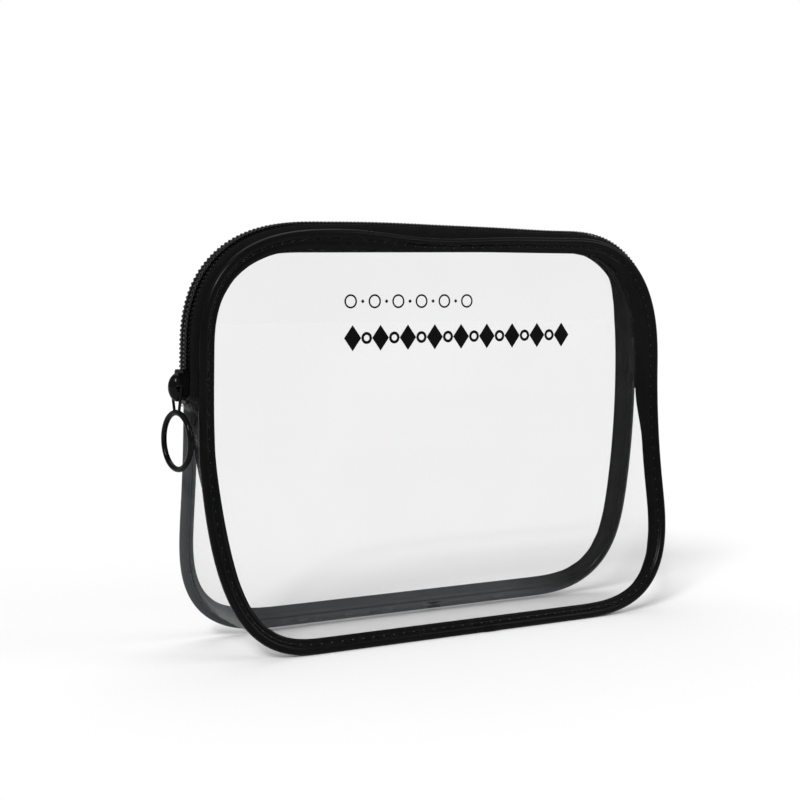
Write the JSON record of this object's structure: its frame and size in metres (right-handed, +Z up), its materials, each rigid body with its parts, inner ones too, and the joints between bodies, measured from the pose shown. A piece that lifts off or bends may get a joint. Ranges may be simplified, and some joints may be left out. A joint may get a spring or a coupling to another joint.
{
  "type": "makeup bag",
  "caption": "Clear vinyl makeup bag with black piped edges, wider at its base, closed over the top by a coil zip with a ring pull.",
  "frame": {"origin": "middle of the whole box's base, on the surface that the bag stands on", "axes": "+X along the bag's width, away from the parked slider; +Y from the front wall to the back wall; +Z up"},
  "size_m": [0.2527, 0.0556, 0.1825],
  "materials": {
    "clear_vinyl": "glossy, clear and flexible",
    "black_vinyl": "soft satin gloss",
    "filler_cord": "matte",
    "black_tape": "woven, matte",
    "black_coil": "satin monofilament",
    "black_enamel": "gloss enamel on die casting",
    "spring_steel": "bright",
    "black_thread": "twisted thread"
  },
  "bodies": {
    "root": {"back_panel": "clear_vinyl", "front_panel_lower": "clear_vinyl", "gusset": "clear_vinyl", "front_piping_lower": "black_vinyl", "back_piping": "black_vinyl", "front_piping_cord_lower": "filler_cord", "back_piping_cord": "filler_cord", "front_piping_splice": "black_vinyl", "back_piping_splice": "black_vinyl", "front_zipper_tape_end": "black_tape", "back_zipper_tape": "black_tape", "left_tape_tails": "black_tape", "right_tape_tails": "black_tape", "front_zipper_coil_end": "black_coil", "back_zipper_coil": "black_coil", "left_zip_stop": "black_coil", "right_zip_stop": "black_coil", "front_seam_thread_lower": "black_thread", "back_seam_thread": "black_thread", "left_bartack": "black_thread", "right_bartack": "black_thread"},
    "front_flap": {"front_panel_upper": "clear_vinyl", "front_piping_upper": "black_vinyl", "front_piping_cord_upper": "filler_cord", "front_zipper_tape": "black_tape", "front_zipper_coil": "black_coil", "front_seam_thread_upper": "black_thread"},
    "slider": {"slider_body": "black_enamel", "slider_cap": "black_enamel", "slider_lock_spring": "spring_steel"},
    "pull": {"pull_ring": "black_enamel"}
  },
  "joints": [
    {"name": "slider_travel", "type": "hinge", "parent": "root", "child": "slider", "pos_m": [-0.06087, 0, 0.1217], "axis": [0, 1, 0], "range_deg": [0, 90]},
    {"name": "pull_swing", "type": "hinge", "parent": "slider", "child": "pull", "pos_m": [-0.12442, 0, 0.1128], "axis": [0, 1, 0], "range_deg": [0, 170]},
    {"name": "mouth_open", "type": "hinge", "parent": "root", "child": "front_flap", "pos_m": [0.00243, -0.0109, 0.1315], "axis": [1, 0, 0], "range_deg": [0, 40], "stiffness_Nm_per_rad": 0.01}
  ]
}
